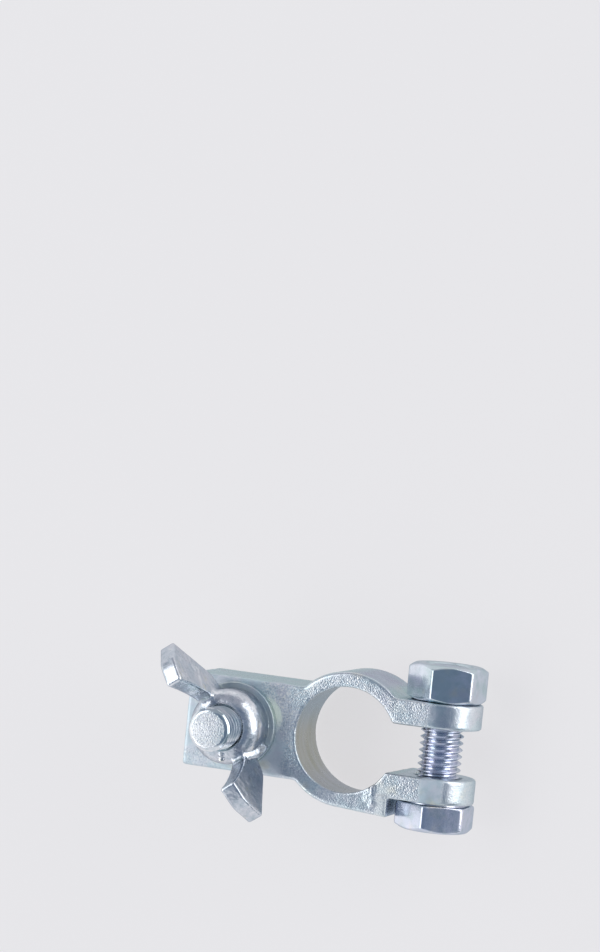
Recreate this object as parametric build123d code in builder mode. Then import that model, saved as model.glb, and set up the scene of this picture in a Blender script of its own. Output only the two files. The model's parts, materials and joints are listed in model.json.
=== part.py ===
from build123d import *
import os
from math import cos, radians, sin, sqrt, tan

# Battery terminal clamp, in millimetres.
# The origin is on the post bore's axis, at the underside of the ring. +Z is up, the way the stud
# points. +X runs from the ring towards the jaws, and +Y towards the pinch bolt's nut.

# ---- Casting: ring, jaws, rib and tang ----
body_height = 14.0
bore_top_radius = 9.67
post_taper = 1 / 18  # loss of radius for each millimetre up the post
ring_radius = 12.5
jaw_gap = 9.1
jaw_centre_y = -0.35  # the gap sits a little towards the rib
jaw_thickness = 4.65
jaw_hole_clearance = 0.5
pinch_wall = 1.45  # between the post bore and the pinch bolt's hole
pocket_wall = 3.0  # between the post bore and the pocket under the tang
tang_end_wall = 2.14
tang_side_wall = 2.05
tang_plate = 5.6  # over the pocket
rib_flare = 0.55  # how far the rib's free end stands out past the ring
rib_clearance = 0.7  # from the rib to the flat of the bolt head
casting_round = 0.45
root_round = 1.2
tang_corner_round = 0.6
bore_round = 0.2

# ---- M8 fasteners ----
thread_radius = 4.0
thread_clearance = 0.05
across_flats = 13.0
head_height = 5.3
nut_height = 6.8
hex_chamfer_angle = 30.0
hex_face_inset = 0.4  # from the flats to the round face left by the turned corners
end_chamfer_width = 0.84
end_chamfer_length = 0.48
bearing_height = 0.3  # the round pad under a bolt's head
bearing_inset = 0.6
nut_countersink = 0.45

# ---- Pinch bolt and nut ----
pinch_length = 25.0
nut_turn = -5.9  # how far the nut stands from a corner straight up

# ---- Stud, washer and wing nut ----
stud_length = 20.0
stud_hole_clearance = 0.2
head_side_clearance = 0.15
head_end_clearance = 0.4
pocket_corner_round = 1.5
washer_radius = 8.0
washer_thickness = 1.6
washer_clearance = 0.2
washer_round = 0.25

hub_base_radius = 7.0
hub_top_radius = 6.95
hub_height = 6.6
hub_shoulder_round = 3.4
wing_angle = 125.4
wing_shift_x = 0.13  # how far the wings' middle stands off the hub's axis, as they are forged
wing_shift_y = -0.53
wing_thickness = 3.08
wing_root_height = 0.3
wing_root_radius = 10.0
wing_crotch_inset = 1.15  # how far inside the hub's top the wings' inner edges end
wing_crotch_height = 4.6
wing_inner_radius = 10.43
wing_inner_height = 16.85
wing_middle_radius = 14.43
wing_middle_height = 15.56
wing_outer_radius = 17.84
wing_outer_height = 11.51
wing_inner_bow = 0.45
wing_root_round = 4.0
wing_tip_round = 5.0
wing_edge_round = 0.45
hub_blend = 1.2

# ---- Worked out from the sizes above ----
bore_base_radius = bore_top_radius + body_height * post_taper
jaw_hole_radius = thread_radius + jaw_hole_clearance
jaw_top = jaw_centre_y + jaw_gap / 2 + jaw_thickness
jaw_bottom = jaw_centre_y - jaw_gap / 2 - jaw_thickness
pinch_x = bore_base_radius + pinch_wall + jaw_hole_radius
pinch_z = body_height / 2
pinch_end = jaw_bottom + pinch_length
nut_end = jaw_top + nut_height
nut_bore_radius = thread_radius + thread_clearance
rib_end_x = pinch_x - across_flats / 2 - rib_clearance
corner_radius = across_flats / sqrt(3)
hex_face_radius = across_flats / 2 - hex_face_inset
bearing_radius = across_flats / 2 - bearing_inset
corner_drop = (corner_radius - hex_face_radius) * tan(radians(hex_chamfer_angle))
pocket_half_length = corner_radius + head_end_clearance
pocket_width = across_flats + 2 * head_side_clearance
stud_x = -bore_base_radius - pocket_wall - pocket_half_length
tang_end_x = stud_x - pocket_half_length - tang_end_wall
tang_width = pocket_width + 2 * tang_side_wall
seat_z = body_height - tang_plate
stud_end_z = seat_z + stud_length
washer_top_z = body_height + washer_thickness
wing_crotch_radius = hub_top_radius - wing_crotch_inset
wing_start_radius = (nut_bore_radius + wing_crotch_radius) / 2


# ---- Clamp body ----
with BuildPart() as clamp_body:
    # Ring and tang, seen from above, with the tang's corners and its roots in the ring rounded
    with BuildSketch() as footprint:
        Circle(ring_radius)
        with Locations((tang_end_x, 0)):
            Rectangle(-tang_end_x, tang_width, align=(Align.MIN, Align.CENTER))
        fillet(footprint.vertices().filter_by_position(Axis.X, -ring_radius, 0), root_round)
        fillet(footprint.vertices().group_by(Axis.X)[0], tang_corner_round)
    extrude(amount=body_height)
    # Both jaws in one, rounded about the pinch bolt's axis
    with BuildSketch(Plane.XZ.offset(-jaw_top)):
        with Locations((0, pinch_z)):
            Rectangle(pinch_x, body_height, align=(Align.MIN, Align.CENTER))
        with Locations((pinch_x, pinch_z)):
            Circle(body_height / 2)
    extrude(amount=jaw_top - jaw_bottom)
    # Rib beside the bolt head, running on from the ring's lowest point
    with BuildSketch():
        with BuildLine():
            Polyline(
                (0, jaw_bottom),
                (0, -ring_radius),
                (rib_end_x, -ring_radius - rib_flare),
                (rib_end_x, jaw_bottom),
                close=True,
            )
        make_face()
    extrude(amount=body_height)
    # Hollow corner between the ring and the jaw on the nut's side
    upright = clamp_body.edges().filter_by(Axis.Z)
    jaw_root = upright.sort_by_distance((ring_radius, jaw_top, pinch_z))[0]
    fillet(jaw_root, root_round)
    # Gap between the jaws, cut well past their ends
    with BuildSketch():
        with Locations((0, jaw_centre_y)):
            Rectangle(pinch_x + body_height, jaw_gap, align=(Align.MIN, Align.CENTER))
    extrude(amount=body_height, mode=Mode.SUBTRACT)
    # Every outer edge of the casting is a little round
    fillet(clamp_body.edges().filter_by(Axis.Z, reverse=True), casting_round)
    # Tapered bore for the battery post
    with BuildSketch(Plane.XZ):
        with BuildLine():
            Polyline(
                (0, 0),
                (bore_base_radius, 0),
                (bore_top_radius, body_height),
                (0, body_height),
                close=True,
            )
        make_face()
    revolve(axis=Axis.Z, mode=Mode.SUBTRACT)
    bore_wall = clamp_body.faces().filter_by(GeomType.CONE)
    fillet(bore_wall.edges().filter_by(GeomType.CIRCLE), bore_round)
    # Cross hole for the pinch bolt
    with BuildSketch(Plane.XZ.offset(-jaw_top)):
        with Locations((pinch_x, pinch_z)):
            Circle(jaw_hole_radius)
    extrude(amount=jaw_top - jaw_bottom, mode=Mode.SUBTRACT)
    # Pocket under the tang that holds the stud bolt's head still
    with BuildSketch():
        with Locations((stud_x, 0)):
            RectangleRounded(2 * pocket_half_length, pocket_width, pocket_corner_round)
    extrude(amount=seat_z, mode=Mode.SUBTRACT)
    # Hole for the stud
    with BuildSketch(Plane.XY.offset(seat_z)):
        with Locations((stud_x, 0)):
            Circle(thread_radius + stud_hole_clearance)
    extrude(amount=tang_plate, mode=Mode.SUBTRACT)
clamp_body.part.label = "clamp_body"


# ---- Pinch bolt, its axis along Y with the head on the -Y side ----
pinch_axis = Axis((pinch_x, 0, pinch_z), (0, 1, 0))
pinch_side = Plane(origin=(pinch_x, 0, pinch_z), x_dir=(1, 0, 0), z_dir=(0, 0, 1))
head_plane = Plane(origin=(pinch_x, jaw_bottom, pinch_z), x_dir=(0, 0, 1), z_dir=(0, -1, 0))
with BuildPart() as pinch_bolt:
    # Hexagon head with one corner straight up, its far corners turned off
    with BuildSketch(head_plane):
        RegularPolygon(across_flats / 2, 6, major_radius=False)
    extrude(amount=head_height)
    with BuildSketch(pinch_side):
        with BuildLine():
            Polyline(
                (0, jaw_bottom),
                (bearing_radius, jaw_bottom),
                (bearing_radius, jaw_bottom - bearing_height),
                (corner_radius, jaw_bottom - bearing_height),
                (corner_radius, jaw_bottom - head_height + corner_drop),
                (hex_face_radius, jaw_bottom - head_height),
                (0, jaw_bottom - head_height),
                close=True,
            )
        make_face()
    revolve(axis=pinch_axis, mode=Mode.INTERSECT)
    # Threaded shank
    with BuildSketch(pinch_side):
        with BuildLine():
            Polyline(
                (0, jaw_bottom),
                (thread_radius, jaw_bottom),
                (thread_radius, pinch_end - end_chamfer_length),
                (thread_radius - end_chamfer_width, pinch_end),
                (0, pinch_end),
                close=True,
            )
        make_face()
    revolve(axis=pinch_axis)
pinch_bolt.part.label = "pinch_bolt"


# ---- Pinch nut ----
nut_plane = Plane(origin=(pinch_x, jaw_top, pinch_z), x_dir=(0, 0, 1), z_dir=(0, 1, 0))
with BuildPart() as pinch_nut:
    with BuildSketch(nut_plane):
        RegularPolygon(across_flats / 2, 6, major_radius=False, rotation=nut_turn)
    extrude(amount=nut_height)
    # Corners turned off at both faces, and the bore countersunk at both ends
    with BuildSketch(pinch_side):
        with BuildLine():
            Polyline(
                (nut_bore_radius, jaw_top + nut_countersink),
                (nut_bore_radius + nut_countersink, jaw_top),
                (hex_face_radius, jaw_top),
                (corner_radius, jaw_top + corner_drop),
                (corner_radius, nut_end - corner_drop),
                (hex_face_radius, nut_end),
                (nut_bore_radius + nut_countersink, nut_end),
                (nut_bore_radius, nut_end - nut_countersink),
                close=True,
            )
        make_face()
    revolve(axis=pinch_axis, mode=Mode.INTERSECT)
pinch_nut.part.label = "pinch_nut"


# ---- Stud bolt, its head in the tang's pocket ----
stud_axis = Axis((stud_x, 0, 0), (0, 0, 1))
stud_side = Plane(origin=(stud_x, 0, 0), x_dir=(1, 0, 0), z_dir=(0, -1, 0))
with BuildPart() as stud_bolt:
    with BuildSketch(Plane.XY.offset(seat_z - head_height)):
        with Locations((stud_x, 0)):
            RegularPolygon(across_flats / 2, 6, major_radius=False)
    extrude(amount=head_height)
    with BuildSketch(stud_side):
        with BuildLine():
            Polyline(
                (0, seat_z),
                (bearing_radius, seat_z),
                (bearing_radius, seat_z - bearing_height),
                (corner_radius, seat_z - bearing_height),
                (corner_radius, seat_z - head_height + corner_drop),
                (hex_face_radius, seat_z - head_height),
                (0, seat_z - head_height),
                close=True,
            )
        make_face()
    revolve(axis=stud_axis, mode=Mode.INTERSECT)
    with BuildSketch(stud_side):
        with BuildLine():
            Polyline(
                (0, seat_z),
                (thread_radius, seat_z),
                (thread_radius, stud_end_z - end_chamfer_length),
                (thread_radius - end_chamfer_width, stud_end_z),
                (0, stud_end_z),
                close=True,
            )
        make_face()
    revolve(axis=stud_axis)
stud_bolt.part.label = "stud_bolt"


# ---- Flat washer ----
with BuildPart() as stud_washer:
    with BuildSketch(Plane.XY.offset(body_height)):
        with Locations((stud_x, 0)):
            Circle(washer_radius)
            Circle(thread_radius + washer_clearance, mode=Mode.SUBTRACT)
    extrude(amount=washer_thickness)
    fillet(
        stud_washer.edges().filter_by(GeomType.CIRCLE).group_by(SortBy.RADIUS)[-1],
        washer_round,
    )
stud_washer.part.label = "stud_washer"


# ---- Wing nut ----
wing_plane = Plane(
    origin=(stud_x + wing_shift_x, wing_shift_y, washer_top_z),
    x_dir=(cos(radians(wing_angle)), sin(radians(wing_angle)), 0),
    z_dir=(sin(radians(wing_angle)), -cos(radians(wing_angle)), 0),
)
hub_side = Plane(origin=(stud_x, 0, washer_top_z), x_dir=(1, 0, 0), z_dir=(0, -1, 0))
with BuildPart() as wing_nut:
    # One wing from the side, and its twin across the hub
    with BuildSketch(wing_plane) as wing_outline:
        with BuildLine():
            Polyline(
                (wing_start_radius, wing_crotch_height),
                (wing_start_radius, wing_root_height),
                (wing_root_radius, wing_root_height),
                (wing_outer_radius, wing_outer_height),
                (wing_middle_radius, wing_middle_height),
                (wing_inner_radius, wing_inner_height),
            )
            SagittaArc(
                (wing_inner_radius, wing_inner_height),
                (wing_crotch_radius, wing_crotch_height),
                wing_inner_bow,
            )
            Line(
                (wing_crotch_radius, wing_crotch_height),
                (wing_start_radius, wing_crotch_height),
            )
        make_face()
        root_corner = wing_outline.vertices().sort_by_distance((wing_root_radius, wing_root_height))[0]
        fillet(root_corner, wing_root_round)
        tip_corner = wing_outline.vertices().sort_by_distance((wing_middle_radius, wing_middle_height))[0]
        fillet(tip_corner, wing_tip_round)
        mirror(about=Plane.YZ)
    extrude(amount=wing_thickness / 2, both=True)
    fillet(wing_nut.edges(), wing_edge_round)
    wings = wing_nut.part
    # Domed hub, a little wider at its foot
    with BuildSketch(hub_side) as hub_outline:
        with BuildLine():
            Polyline(
                (0, 0),
                (hub_base_radius, 0),
                (hub_top_radius, hub_height),
                (0, hub_height),
                close=True,
            )
        make_face()
        shoulder = hub_outline.vertices().sort_by_distance((hub_top_radius, hub_height))[0]
        fillet(shoulder, hub_shoulder_round)
    hub = revolve(axis=stud_axis)
    # Blend where each wing grows out of the hub, but for the flat seams under the wings
    hub_seams = new_edges(wings, hub, combined=wing_nut.part).filter_by(GeomType.CIRCLE, reverse=True)
    fillet(hub_seams, hub_blend)
    # Threaded bore, countersunk at both ends
    with BuildSketch(hub_side):
        with BuildLine():
            Polyline(
                (0, 0),
                (nut_bore_radius + nut_countersink, 0),
                (nut_bore_radius, nut_countersink),
                (nut_bore_radius, hub_height - nut_countersink),
                (nut_bore_radius + nut_countersink, hub_height),
                (0, hub_height),
                close=True,
            )
        make_face()
    revolve(axis=stud_axis, mode=Mode.SUBTRACT)
wing_nut.part.label = "wing_nut"


os.makedirs("parts", exist_ok=True)
export_step(clamp_body.part, "parts/clamp_body.step")
export_step(pinch_bolt.part, "parts/pinch_bolt.step")
export_step(pinch_nut.part, "parts/pinch_nut.step")
export_step(stud_bolt.part, "parts/stud_bolt.step")
export_step(stud_washer.part, "parts/stud_washer.step")
export_step(wing_nut.part, "parts/wing_nut.step")
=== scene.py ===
"""Dressed model of a battery terminal clamp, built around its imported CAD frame.

All sizes are in metres, in the frame of the CAD model: the origin lies on the post bore's axis at
the ring's underside, +Z is up, +X runs towards the jaws and +Y towards the pinch nut.
"""

import json
import logging
import math
from contextlib import contextmanager
from dataclasses import dataclass
from enum import Enum
from typing import Callable, ClassVar, Iterator, Sequence

import bmesh
import bpy
import numpy as np
from mathutils import Matrix, Vector

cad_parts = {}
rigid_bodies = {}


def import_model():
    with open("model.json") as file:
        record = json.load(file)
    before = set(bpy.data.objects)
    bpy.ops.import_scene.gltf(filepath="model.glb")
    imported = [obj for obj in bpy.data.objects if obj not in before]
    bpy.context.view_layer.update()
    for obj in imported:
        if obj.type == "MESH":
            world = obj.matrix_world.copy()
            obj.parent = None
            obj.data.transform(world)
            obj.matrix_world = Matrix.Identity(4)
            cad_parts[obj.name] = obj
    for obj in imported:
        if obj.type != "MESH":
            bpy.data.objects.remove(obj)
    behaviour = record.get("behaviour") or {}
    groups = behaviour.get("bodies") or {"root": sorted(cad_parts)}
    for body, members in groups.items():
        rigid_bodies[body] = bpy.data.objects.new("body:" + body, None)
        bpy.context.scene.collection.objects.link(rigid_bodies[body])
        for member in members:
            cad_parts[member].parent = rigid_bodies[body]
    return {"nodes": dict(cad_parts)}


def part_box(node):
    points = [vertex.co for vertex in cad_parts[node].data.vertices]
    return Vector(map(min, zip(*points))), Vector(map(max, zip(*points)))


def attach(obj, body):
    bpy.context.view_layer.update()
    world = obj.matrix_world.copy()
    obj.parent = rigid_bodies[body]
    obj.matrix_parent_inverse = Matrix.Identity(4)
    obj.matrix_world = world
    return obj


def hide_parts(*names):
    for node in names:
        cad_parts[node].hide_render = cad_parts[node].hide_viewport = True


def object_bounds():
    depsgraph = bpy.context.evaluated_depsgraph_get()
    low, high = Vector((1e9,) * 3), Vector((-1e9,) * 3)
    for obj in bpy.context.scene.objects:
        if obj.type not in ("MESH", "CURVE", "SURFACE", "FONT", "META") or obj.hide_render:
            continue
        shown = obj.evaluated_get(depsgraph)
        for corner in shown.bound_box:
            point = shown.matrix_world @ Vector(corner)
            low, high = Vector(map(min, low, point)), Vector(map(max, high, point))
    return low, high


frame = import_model()
cad_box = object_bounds()

Colour = tuple[float, float, float]
Point = tuple[float, float]
Triple = tuple[float, float, float]

MM = 0.001
WELD = 0.0005 * MM  # points nearer to each other than this are one
CREASE = 28.0  # degrees between two faces, past which the edge between them stays sharp
TO_SOFTBOX: Triple = (0.69, 0.31, 0.66)  # faces that look this way mirror the light on the right
TO_LEFT: Triple = (-0.19, 0.07, 0.98)  # and these the one on the left
log = logging.getLogger("battery_clamp")


# ---------------------------------------------------------------- node trees


class Value:
    """A number in a node tree, which arithmetic turns into Math nodes."""

    def __init__(self, tree: bpy.types.NodeTree, socket: bpy.types.NodeSocket) -> None:
        """Keeps the tree and the socket that carries the number."""
        self.tree = tree
        self.socket = socket

    def math(self, operation: str, *terms: "Value | float") -> "Value":
        """Adds a Math node that works on this value.

        Args:
            operation: The node's operation.
            terms: Its second and third inputs.

        Returns:
            The node's result.
        """
        node = self.tree.nodes.new("ShaderNodeMath")
        node.operation = operation
        for socket, term in zip(node.inputs, (self, *terms)):
            plug(self.tree, socket, term)
        return Value(self.tree, node.outputs[0])

    def __add__(self, other: "Value | float") -> "Value":
        """Adds."""
        return self.math("ADD", other)

    def __sub__(self, other: "Value | float") -> "Value":
        """Subtracts."""
        return self.math("SUBTRACT", other)

    def __mul__(self, other: "Value | float") -> "Value":
        """Multiplies."""
        return self.math("MULTIPLY", other)

    def __truediv__(self, other: "Value | float") -> "Value":
        """Divides."""
        return self.math("DIVIDE", other)

    def step(self, low: float, high: float) -> "Value":
        """Rises smoothly from 0 at low to 1 at high, or falls where low is the larger."""
        smooth = {"interpolation_type": "SMOOTHSTEP"}
        node = NodeTree(self.tree).node("ShaderNodeMapRange", smooth, Value=self, From_Min=low, From_Max=high)
        return Value(self.tree, node.outputs["Result"])


def plug(tree: bpy.types.NodeTree, socket: bpy.types.NodeSocket, term: object) -> None:
    """Feeds a socket from a value or another socket, or sets it to a constant.

    Args:
        tree: The tree that holds both.
        socket: The input to feed.
        term: A Value, a socket, or a constant of the socket's own kind.
    """
    if isinstance(term, Value):
        tree.links.new(term.socket, socket)
    elif isinstance(term, bpy.types.NodeSocket):
        tree.links.new(term, socket)
    else:
        socket.default_value = term


class NodeTree:
    """A node tree that is built node by node."""

    def __init__(self, tree: bpy.types.NodeTree) -> None:
        """Keeps the tree."""
        self.tree = tree

    def node(
        self, kind: str, settings: dict[str, object] | None = None, **inputs: object
    ) -> bpy.types.Node:
        """Adds a node.

        Args:
            kind: The node's type name.
            settings: Properties of the node itself.
            inputs: What feeds its sockets, by name, with _ for a space.

        Returns:
            The node.
        """
        made = self.tree.nodes.new(kind)
        for name, value in (settings or {}).items():
            setattr(made, name, value)
        for name, term in inputs.items():
            plug(self.tree, made.inputs[name.replace("_", " ")], term)
        return made

    def mixed(self, share: Value, first: object, second: object) -> bpy.types.NodeSocket:
        """Mixes two colours.

        Args:
            share: The second colour's share.
            first: A colour or a colour socket.
            second: The same.

        Returns:
            The mixed colour's socket.
        """
        node = self.node("ShaderNodeMix", {"data_type": "RGBA"}, Factor=share)
        for socket, term in ((node.inputs[6], first), (node.inputs[7], second)):
            plug(self.tree, socket, (*term, 1.0) if isinstance(term, tuple) else term)
        return node.outputs[2]


class Kind(Enum):
    """What an input of a Geometry Nodes tree carries."""

    NUMBER = "NodeSocketFloat"
    COUNT = "NodeSocketInt"
    MATERIAL = "NodeSocketMaterial"
    MESH = "NodeSocketGeometry"


class GeometryTree(NodeTree):
    """A Geometry Nodes tree with named inputs."""

    def __init__(self, name: str) -> None:
        """Starts an empty tree that puts out a mesh.

        Args:
            name: The tree's name.
        """
        super().__init__(bpy.data.node_groups.new(name, "GeometryNodeTree"))
        self.tree.is_modifier = True
        self.ids: dict[str, str] = {}
        self.source = self.tree.nodes.new("NodeGroupInput")
        self.tree.interface.new_socket("Geometry", in_out="OUTPUT", socket_type=Kind.MESH.value)

    def take(self, name: str, kind: Kind) -> bpy.types.NodeSocket:
        """Adds a named input.

        Args:
            name: The input's name.
            kind: What it carries.

        Returns:
            The socket that carries it inside the tree.
        """
        item = self.tree.interface.new_socket(name, in_out="INPUT", socket_type=kind.value)
        self.ids[name] = item.identifier
        return self.source.outputs[name]

    def numbers(self, *names: str, kind: Kind = Kind.NUMBER) -> list[Value]:
        """Adds named inputs that arithmetic can use."""
        return [Value(self.tree, self.take(name, kind)) for name in names]

    def finish(self, geometry: bpy.types.NodeSocket) -> None:
        """Ends the tree with Realize Instances and Set Material.

        Args:
            geometry: The mesh that the tree has made.
        """
        real = self.node("GeometryNodeRealizeInstances", Geometry=geometry).outputs[0]
        finish = self.take("Material", Kind.MATERIAL)
        dressed = self.node("GeometryNodeSetMaterial", Geometry=real, Material=finish)
        end = self.tree.nodes.new("NodeGroupOutput")
        plug(self.tree, end.inputs[0], dressed.outputs[0])

    def run(self, host: bpy.types.Object, **values: object) -> bpy.types.Mesh:
        """Runs the tree as a modifier on an object, and takes the result as a plain mesh.

        Args:
            host: The object whose mesh goes in. It is removed afterwards.
            values: The tree's inputs, by name, with _ for a space.

        Returns:
            The finished mesh.
        """
        modifier = host.modifiers.new("nodes", "NODES")
        modifier.node_group = self.tree
        for name, value in values.items():
            modifier[self.ids[name.replace("_", " ")]] = value
        return evaluated(host)


# ---------------------------------------------------------------- meshes


def new_object(name: str, mesh: bpy.types.Mesh) -> bpy.types.Object:
    """Makes an object for a mesh and puts it in the scene."""
    made = bpy.data.objects.new(name, mesh)
    bpy.context.scene.collection.objects.link(made)
    return made


def evaluated(host: bpy.types.Object) -> bpy.types.Mesh:
    """Turns an object with its modifiers into a plain mesh, and removes the object.

    Args:
        host: The object to evaluate.

    Returns:
        The finished mesh.
    """
    graph = bpy.context.evaluated_depsgraph_get()
    mesh = bpy.data.meshes.new_from_object(host.evaluated_get(graph), depsgraph=graph)
    bpy.data.objects.remove(host)
    return mesh


@contextmanager
def editing(mesh: bpy.types.Mesh) -> Iterator[bmesh.types.BMesh]:
    """Opens a mesh for changes, and writes them back at the end.

    Args:
        mesh: The mesh.

    Yields:
        The mesh's form, to be changed.
    """
    form = bmesh.new()
    form.from_mesh(mesh)
    yield form
    form.to_mesh(mesh)
    form.free()


def welded_copy(node: str) -> bpy.types.Object:
    """Copies a CAD node's mesh and joins its loose triangles.

    Args:
        node: The node's name.

    Returns:
        A scratch object with a closed mesh.
    """
    mesh = frame["nodes"][node].data.copy()
    with editing(mesh) as form:
        bmesh.ops.remove_doubles(form, verts=form.verts, dist=WELD)
    for layer in list(mesh.uv_layers):
        mesh.uv_layers.remove(layer)
    mesh.materials.clear()
    return new_object(f"{node}_work", mesh)


class Cut(Enum):
    """What becomes of a mesh when another meets it."""

    JOIN = "UNION"
    TAKE_AWAY = "DIFFERENCE"


def cut(target: bpy.types.Mesh, tool: bpy.types.Mesh, operation: Cut) -> bpy.types.Mesh:
    """Adds one closed mesh to another, or takes it away.

    Args:
        target: The mesh that is changed.
        tool: The mesh that changes it.
        operation: Which of the two is done.

    Returns:
        The new mesh.
    """
    host = new_object("cut_target", target)
    other = new_object("cut_tool", tool)
    modifier = host.modifiers.new("cut", "BOOLEAN")
    modifier.object = other
    modifier.operation = operation.value
    modifier.solver = "EXACT"
    made = evaluated(host)
    bpy.data.objects.remove(other)
    return made


def face_outwards(mesh: bpy.types.Mesh) -> None:
    """Merges doubled points and turns every face of a closed mesh outwards."""
    with editing(mesh) as form:
        bmesh.ops.remove_doubles(form, verts=form.verts, dist=WELD)
        bmesh.ops.recalc_face_normals(form, faces=form.faces)


def remeshed(host: bpy.types.Object, voxel: float, rounds: int) -> bpy.types.Mesh:
    """Joins overlapping closed shells into one even skin, its sharp edges a little rounded.

    Args:
        host: The object whose mesh holds the shells. It is removed.
        voxel: Spacing of the new points.
        rounds: How often the skin is smoothed.

    Returns:
        The new mesh.
    """
    modifier = host.modifiers.new("skin", "REMESH")
    modifier.mode = "VOXEL"
    modifier.voxel_size = voxel
    modifier.use_smooth_shade = True
    smooth = host.modifiers.new("soften", "SMOOTH")
    smooth.factor = 0.5
    smooth.iterations = rounds
    return evaluated(host)


def shade(mesh: bpy.types.Mesh) -> None:
    """Shades a mesh smooth, apart from its sharp edges."""
    mesh.shade_smooth()
    mesh.set_sharp_from_angle(angle=math.radians(CREASE))


def points_of(mesh: bpy.types.Mesh) -> np.ndarray:
    """Reads a mesh's points, in metres, one row each."""
    points = np.zeros(len(mesh.vertices) * 3, np.float32)
    mesh.vertices.foreach_get("co", points)
    return points.reshape(-1, 3)


def paint(mesh: bpy.types.Mesh, name: str, values: np.ndarray) -> None:
    """Stores a number at each point of a mesh, as an attribute of this name."""
    layer = mesh.attributes.get(name) or mesh.attributes.new(name, "FLOAT", "POINT")
    layer.data.foreach_set("value", values.astype(np.float32))


def paint_smooth(mesh: bpy.types.Mesh) -> None:
    """Marks a mesh as smooth all over, with no blasted parts."""
    paint(mesh, "polish", np.ones(len(mesh.vertices)))


def ease(values: np.ndarray, low: float, high: float) -> np.ndarray:
    """Rises smoothly from 0 at low to 1 at high, or falls where low is the larger."""
    share = np.clip((values - low) / (high - low), 0, 1)
    return share * share * (3 - 2 * share)


# ---------------------------------------------------------------- turned forms


@dataclass(frozen=True)
class Corner:
    """A corner of a section: how far from the axis, how far along it, and its rounding."""

    radius: float
    height: float
    rounding: float = 0.0


def rounded_section(corners: Sequence[Corner], steps: int, closed: bool) -> list[Point]:
    """Rounds the corners of a section, with the same number of points whatever its sizes.

    Args:
        corners: The section's corners, in order.
        steps: Points on each rounded corner, less one.
        closed: True for a loop, such as a nut's section, which never meets the axis.

    Returns:
        Pairs of radius and height.
    """
    points: list[Point] = []
    count = len(corners)
    for index, corner in enumerate(corners):
        here = Vector((corner.radius, corner.height))
        if corner.rounding == 0 or (not closed and index in (0, count - 1)):
            points.append(tuple(here))
            continue
        before = corners[index - 1]
        after = corners[(index + 1) % count]
        back = Vector((before.radius, before.height)) - here
        on = Vector((after.radius, after.height)) - here
        reach = min(corner.rounding, 0.45 * back.length, 0.45 * on.length)
        start = here + back.normalized() * reach
        end = here + on.normalized() * reach
        for step in range(steps + 1):
            t = step / steps
            points.append(tuple(start * (1 - t) ** 2 + here * 2 * t * (1 - t) + end * t**2))
    return points


def lathe(
    section_at: Callable[[float], list[Point]], columns: int, closed: bool
) -> bpy.types.Mesh:
    """Sweeps a section that may change with the angle round the Z axis.

    Args:
        section_at: The section's points at an angle in radians, always as many.
        columns: How many sections stand round the axis.
        closed: True if the section is a loop. Otherwise its two ends lie on the axis.

    Returns:
        A closed mesh.
    """
    mesh = bpy.data.meshes.new("turned")
    with editing(mesh) as form:
        rings = []
        for column in range(columns):
            angle = 2 * math.pi * column / columns
            side, out = math.sin(angle), math.cos(angle)
            rings.append([form.verts.new((r * out, r * side, z)) for r, z in section_at(angle)])
        rows = len(rings[0])
        for column, ring in enumerate(rings):
            following = rings[(column + 1) % columns]
            for row in range(rows if closed else rows - 1):
                above = (row + 1) % rows
                form.faces.new((ring[row], following[row], following[above], ring[above]))
    face_outwards(mesh)
    return mesh


# ---------------------------------------------------------------- screw threads


@dataclass(frozen=True)
class ThreadSize:
    """Sizes of a metric thread."""

    crest_radius: float = 4.0 * MM
    pitch: float = 1.25 * MM
    groove: float = 0.6134  # depth of the groove, in pitches
    softness: float = 0.045 * MM

    @property
    def root_radius(self) -> float:
        """Radius at the bottom of the groove."""
        return self.crest_radius - self.groove * self.pitch

    @property
    def sharp_radius(self) -> float:
        """Radius that the flanks would meet at if the crest weren't cut off."""
        return self.crest_radius + math.sqrt(3) / 16 * self.pitch


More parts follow.
